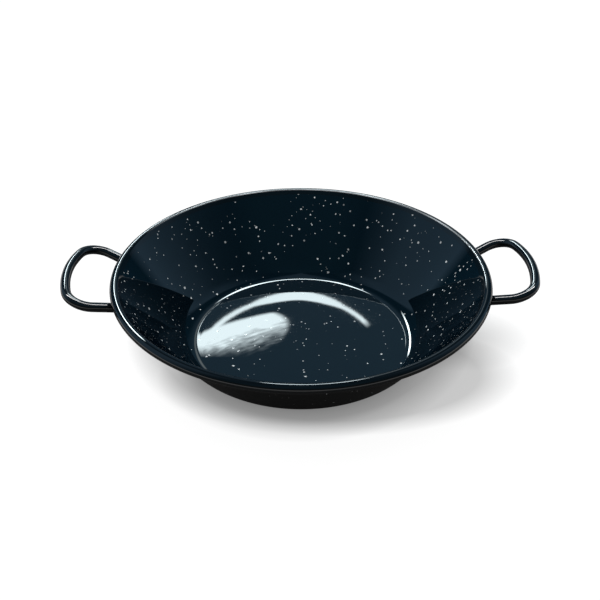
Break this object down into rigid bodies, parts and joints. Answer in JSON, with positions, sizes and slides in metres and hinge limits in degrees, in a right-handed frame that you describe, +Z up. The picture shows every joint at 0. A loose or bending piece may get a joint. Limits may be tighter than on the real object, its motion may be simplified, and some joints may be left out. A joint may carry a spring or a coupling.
{
  "type": "wok bowl",
  "caption": "Black speckled enamelled steel wok bowl with a rolled rim, a gently dished floor and fixed rod loop handles.",
  "frame": {"origin": "centre of the bowl's underside", "axes": "+X through the right handle, +Y to the rear, +Z up out of the bowl"},
  "size_m": [0.25, 0.2, 0.0506],
  "materials": {
    "speckled_enamel": "glossy black vitreous enamel with fine white speckles",
    "black_enamel": "glossy plain black vitreous enamel"
  },
  "bodies": {
    "root": {"bowl_shell": "speckled_enamel", "left_handle": "black_enamel", "right_handle": "black_enamel", "left_front_weld": "black_enamel", "left_rear_weld": "black_enamel", "right_front_weld": "black_enamel", "right_rear_weld": "black_enamel"}
  },
  "joints": []
}
